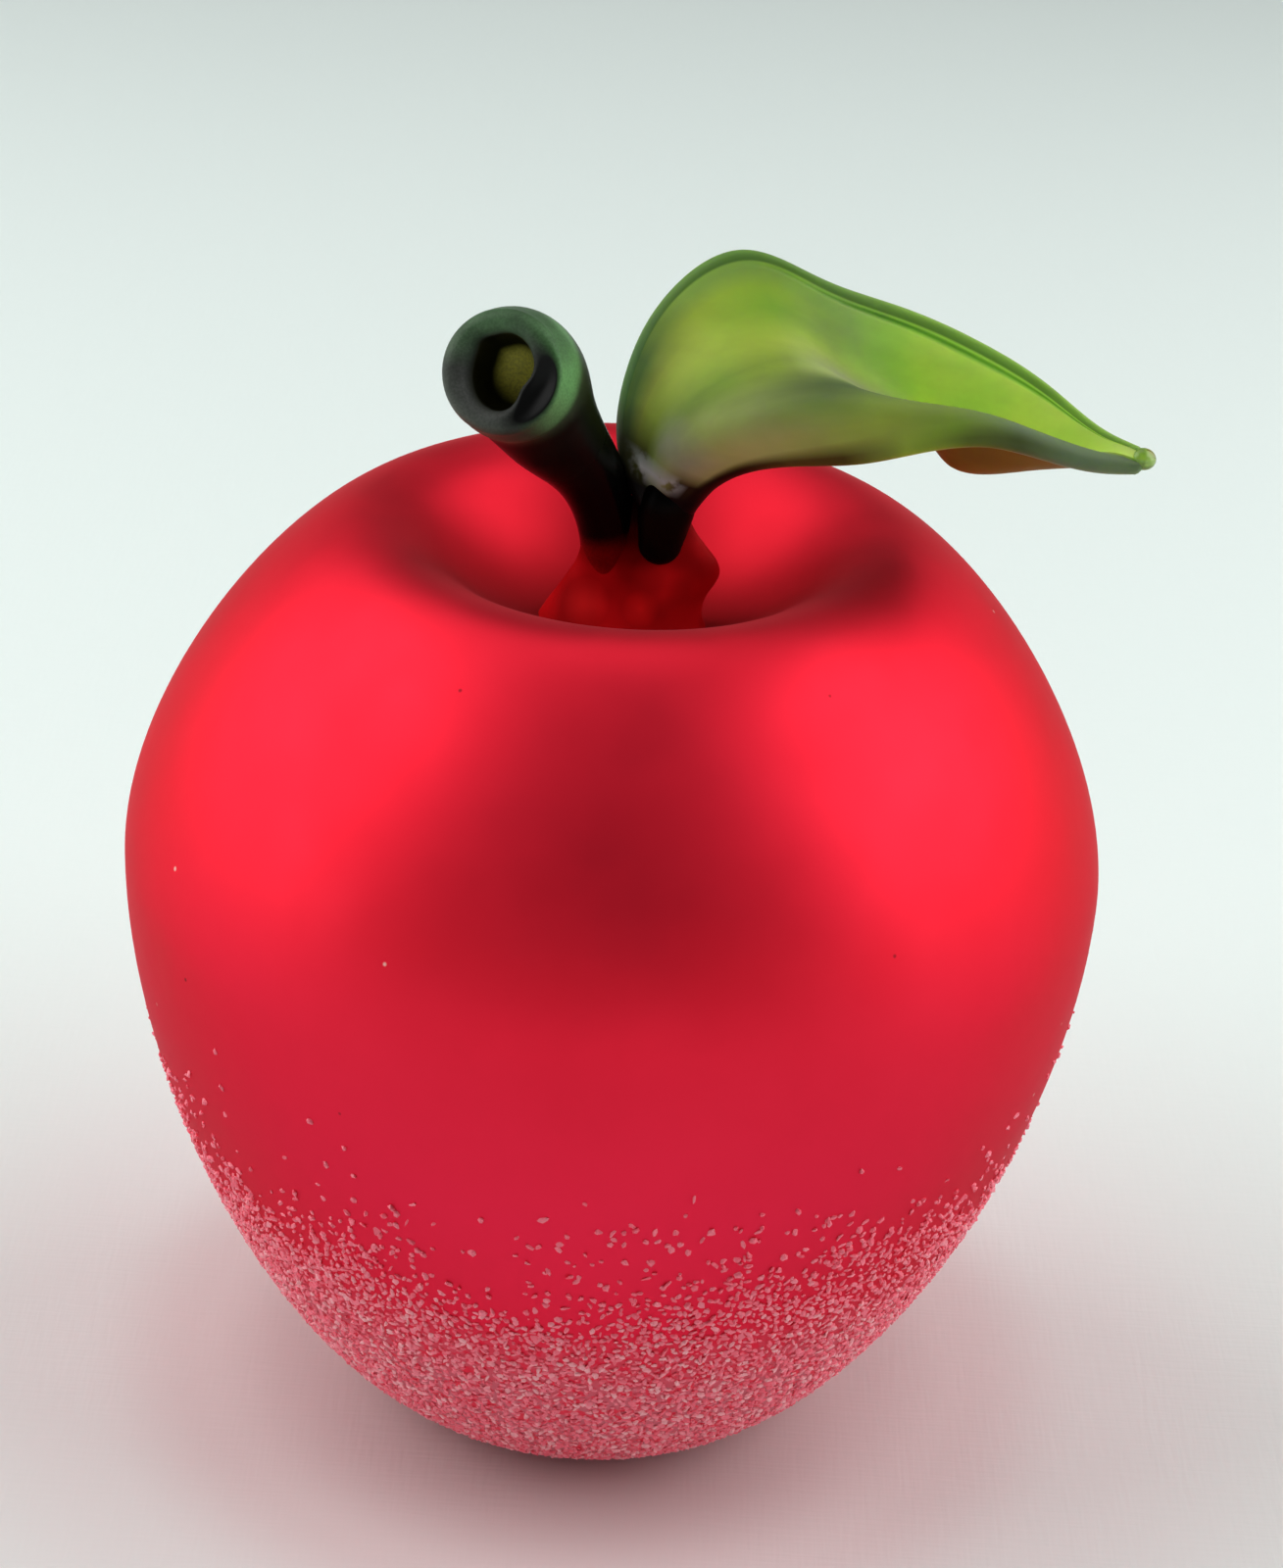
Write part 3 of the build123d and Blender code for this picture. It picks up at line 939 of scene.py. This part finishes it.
def smoked_green():
    """Dark green glass of the stem: red at the collar, black up its neck, satin at its head, with painted
    light: a greener glow and highlights on the head, a glow in its hole, and painted shade in its groove.
    """
    material, tree, shader = new_material("smoked_green", (0.01, 0.015, 0.01), 0.4, Specular_IOR_Level=0.12)
    along = map_range(tree, attribute(tree, "along"), 0.0, stem_line_end)
    # Colours along the stem; the greener head is painted light shining through its thin glass, the bright
    # olive at the hole's bottom a painted glow
    colour = ramp(tree, along, [
        (0.0, (0.5, 0.005, 0.006)),
        (0.06, (0.4, 0.004, 0.005)),
        (0.11, (0.16, 0.002, 0.002)),
        (0.17, (0.001, 0.001, 0.001)),
        (0.49, (0.002, 0.003, 0.002)),
        (0.58, (0.02, 0.03, 0.016)),
        (0.65, (0.04, 0.055, 0.036)),
        (0.715, (0.055, 0.058, 0.052)),
        (0.74, (0.03, 0.032, 0.028)),
        (0.77, (0.002, 0.002, 0.001)),
        (0.92, (0.004, 0.004, 0.001)),
        (0.995, (0.75, 0.7, 0.12)),
    ])
    # Painted highlight: green along the head's right flank
    flank_highlight = times(tree, map_range(tree, attribute(tree, "right"), 0.55, 0.95),
                  ramp(tree, along, [(0.57, grey(0)), (0.63, grey(1)), (0.68, grey(1)), (0.71, grey(0))]))
    colour = mix(tree, flank_highlight, colour, (0.09, 0.22, 0.075))
    # Painted light: greener on the top of the head
    head_top_light = times(tree, map_range(tree, attribute(tree, "upper"), 0.6, 1.0),
                 ramp(tree, along, [(0.6, grey(0)), (0.66, grey(1)), (0.71, grey(1)), (0.74, grey(0))]))
    colour = mix(tree, head_top_light, colour, (0.06, 0.12, 0.055))
    patches = ramp(tree, noise(tree, waves=170.0), [(0.35, grey(0.7)), (0.65, grey(1.25))])
    colour = mix(tree, 1.0, colour, patches, "MULTIPLY")
    grain = ramp(tree, noise(tree, waves=3800.0, detail=1.0), [(0.35, grey(0.88)), (0.65, grey(1.12))])
    colour = mix(tree, 1.0, colour, grain, "MULTIPLY")
    # Painted shade: black in the groove beside the mouth
    colour = mix(tree, map_range(tree, attribute(tree, "groove"), 0.1, 0.42), colour, (0.001, 0.001, 0.001))
    tree.links.new(colour, shader.inputs["Base Color"])
    tree.links.new(map_range(tree, along, 0.3, 0.5, 0.2, 0.45), shader.inputs["Roughness"])
    return material


def leaf_black():
    """Black glass of the leaf's foot, a little brown in places."""
    material, tree, shader = new_material("leaf_black", (0.003, 0.003, 0.003), 0.35, Specular_IOR_Level=0.02)
    tints = ramp(tree, noise(tree, waves=160.0), [(0.4, (0.001, 0.001, 0.001)), (0.7, (0.006, 0.003, 0.002))])
    tree.links.new(tints, shader.inputs["Base Color"])
    return material


def leaf_green():
    """Satin green glass of the blade: lime where it is thin, brightened by painted light, and olive, brown or
    grey where it is thick, with painted shade and painted red light thrown up from the body.
    """
    material, tree, shader = new_material("leaf_green", (0.28, 0.45, 0.04), 0.45, Subsurface_Weight=0.9,
                                          Subsurface_Scale=3.5 * mm, Subsurface_Radius=(0.8, 1.0, 0.25),
                                          Specular_IOR_Level=0.12)
    along = attribute(tree, "along")
    across = attribute(tree, "across")
    colour = ramp(tree, noise(tree, waves=75.0), [
        (0.3, (0.24, 0.29, 0.055)),
        (0.45, (0.27, 0.38, 0.045)),
        (0.58, (0.2, 0.36, 0.03)),
        (0.72, (0.3, 0.44, 0.05)),
    ])
    for tint, strength, along_span, across_span, soft_along, soft_across in leaf_paints:
        mask = patch(tree, along, across, along_span, across_span, soft_along, soft_across)
        colour = mix(tree, times(tree, mask, strength), colour, tint)
    # Pale frosted scroll at the root, lit from above: a painted highlight
    scroll_highlight = times(tree, patch(tree, along, across, (0.07, 0.1), (0.2, 0.92), 0.015, 0.08),
                   ramp(tree, noise(tree, waves=330.0, detail=3.0), [(0.42, grey(0)), (0.52, grey(1))]))
    colour = mix(tree, scroll_highlight, colour, (0.52, 0.62, 0.6))
    # Brown belly on the underside, painted shade and red light thrown up from the body; small dark specks and
    # fine streaks
    belly = times(tree, map_range(tree, attribute(tree, "under"), 0.5, 1.0),
                  map_range(tree, along, 0.35, 0.6))
    colour = mix(tree, belly, colour, (0.17, 0.1, 0.015))
    colour = mix(tree, specks(tree, waves=110.0, radius=0.22 * mm), colour, (0.08, 0.15, 0.02))
    streaks = ramp(tree, noise(tree, waves=420.0, detail=3.0, stretch=(0.3, 1, 0.7)),
                   [(0.3, grey(0.94)), (0.7, grey(1.06))])
    colour = mix(tree, 1.0, colour, streaks, "MULTIPLY")
    tree.links.new(colour, shader.inputs["Base Color"])
    tree.links.new(map_range(tree, along, 0.1, 0.16, 0.05, 0.9), shader.inputs["Subsurface Weight"])
    rough = map_range(tree, noise(tree, waves=150.0, detail=3.0), 0.3, 0.7, 0.42, 0.52)
    tree.links.new(rough, shader.inputs["Roughness"])
    bump(tree, shader, noise(tree, waves=90.0), strength=0.15, distance=0.5 * mm)
    return material


def lime_glass():
    """Bright glass of the drop at the leaf's tip."""
    material, tree, shader = new_material("lime_glass", (0.4, 0.6, 0.12), 0.15,
                                          Transmission_Weight=0.6, IOR=1.45)
    tints = ramp(tree, noise(tree, waves=500.0), [(0.3, (0.3, 0.5, 0.07)), (0.7, (0.5, 0.7, 0.18))])
    tree.links.new(tints, shader.inputs["Base Color"])
    return material


def clear_glass():
    """Clear glass of the bubble inside the body."""
    material, tree, shader = new_material("clear_glass", (0.95, 0.97, 0.96), 0.04,
                                          Transmission_Weight=1.0, IOR=1.5)
    tints = ramp(tree, noise(tree, waves=40.0), [(0.3, (0.93, 0.97, 0.95)), (0.7, (0.98, 0.99, 0.98))])
    tree.links.new(tints, shader.inputs["Base Color"])
    return material


# Camera, lights and floor

def make_camera():
    data = bpy.data.cameras.new("camera")
    data.lens = camera_lens
    data.sensor_width = camera_sensor
    data.clip_start = camera_near
    camera = bpy.data.objects.new("camera", data)
    bpy.context.scene.collection.objects.link(camera)
    right = Vector((math.cos(camera_yaw), -math.sin(camera_yaw), 0))
    forward = Vector((math.sin(camera_yaw) * math.cos(camera_pitch),
                      math.cos(camera_yaw) * math.cos(camera_pitch), -math.sin(camera_pitch)))
    up = right.cross(forward)
    camera_x = right * math.cos(camera_roll) + up * math.sin(camera_roll)
    camera_y = up * math.cos(camera_roll) - right * math.sin(camera_roll)
    turn = Matrix((camera_x, camera_y, -forward)).transposed().to_4x4()
    camera.matrix_world = Matrix.Translation(camera_place) @ turn
    bpy.context.scene.camera = camera


def soft_light(name, place, width, height, power):
    """Rectangular lamp that faces the apple's middle."""
    data = bpy.data.lights.new(name, "AREA")
    data.shape = "RECTANGLE"
    data.size = width
    data.size_y = height
    data.energy = power
    lamp = bpy.data.objects.new(name, data)
    bpy.context.scene.collection.objects.link(lamp)
    lamp.location = place
    towards = Vector((0, 0, belly_height)) - Vector(place)
    lamp.rotation_euler = towards.to_track_quat("-Z", "Y").to_euler()


def pale_cloth():
    """Pale cloth, darker and pinker round the apple with painted shade and red light thrown from it, with a
    glow far out where it is the backdrop.
    """
    material, tree, shader = new_material("pale_cloth", (0.83, 0.92, 0.89), 0.8)
    reach = distance_from(tree, (0, 0, 0), own_place(tree))
    # Painted shade and red light from the apple: darker and pinker near its foot
    floor_shade_colours = ramp(tree, map_range(tree, reach, *floor_shade_radii), [
        (0.0, (0.66, 0.56, 0.56)),
        (0.15, (0.79, 0.74, 0.73)),
        (0.3, (0.83, 0.88, 0.86)),
        (0.6, (0.83, 0.91, 0.88)),
        (1.0, (0.83, 0.925, 0.89)),
    ])
    tree.links.new(floor_shade_colours, shader.inputs["Base Color"])
    lengthwise, crosswise = [noise(tree, thread_waves, 1.0, stretch)
                             for stretch in ((1, 0.1, 1), (0.1, 1, 1))]
    threads = mix(tree, 1.0, lengthwise, crosswise, "ADD")
    bump(tree, shader, threads, strength=0.12, distance=0.3 * mm)
    rays = add_node(tree, "ShaderNodeLightPath").outputs
    seen = rays["Is Camera Ray"]
    for kind in ("Is Glossy Ray", "Is Transmission Ray"):
        seen = calculate(tree, "MAXIMUM", seen, rays[kind])
    far = map_range(tree, reach, glow_start, glow_full, 0.0, backdrop_light)
    shader.inputs["Emission Color"].default_value = (0.95, 1.0, 0.98, 1)
    tree.links.new(times(tree, far, seen), shader.inputs["Emission Strength"])
    return material


def make_floor():
    """Flat floor that runs out into a low rim."""
    edge = ring_turns(floor_sides)
    vertices = [(0, 0, 0)]
    for radius, height in ((floor_radius, 0), (backdrop_radius, backdrop_height)):
        vertices += [(radius * math.cos(turn), radius * math.sin(turn), height) for turn in edge]
    faces = []
    for side in range(floor_sides):
        here = 1 + side
        following = 1 + (side + 1) % floor_sides
        faces.append((0, here, following))
        faces.append((here, here + floor_sides, following + floor_sides, following))
    mesh = bpy.data.meshes.new("floor")
    mesh.from_pydata(vertices, [], faces)
    floor = new_piece("floor", mesh)
    floor.data.materials.append(pale_cloth())


def make_room():
    """Even light from all round."""
    world = bpy.data.worlds.new("studio")
    world.use_nodes = True
    room = world.node_tree.nodes["Background"]
    room.inputs["Color"].default_value = (1, 1, 1, 1)
    room.inputs["Strength"].default_value = room_light
    bpy.context.scene.world = world


make_camera()
make_floor()
make_room()
for lamp_name, lamp in lamps.items():
    soft_light(lamp_name, *lamp)


def place_piece(piece, material, node_name):
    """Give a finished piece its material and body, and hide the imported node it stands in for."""
    if material.name not in piece.data.materials:
        piece.data.materials.append(material)
    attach(piece, "root")
    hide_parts(node_name)


chips_glass = pink_chips()
chips = chip_tree(chips_glass)
place_piece(make_body(), ruby_satin(), "ruby_overlay")
for seed, (name, low, high) in enumerate(zip(frit_names, frit_edges, frit_edges[1:]), frit_first_seed):
    place_piece(make_chips(name, chips, low, high, seed), chips_glass, "frit_coat")
place_piece(make_boss(), ruby_clear(), "stem_boss")
place_piece(make_stem(), smoked_green(), "stem")
place_piece(make_leaf_foot(), leaf_black(), "leaf_foot")
place_piece(make_leaf(), leaf_green(), "leaf_blade")
place_piece(make_bead(), lime_glass(), "leaf_bead")

inner_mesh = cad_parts["inner_gather"].data
inner_mesh.materials.clear()
inner_mesh.materials.append(clear_glass())

bpy.context.scene.view_settings.view_transform = "Standard"
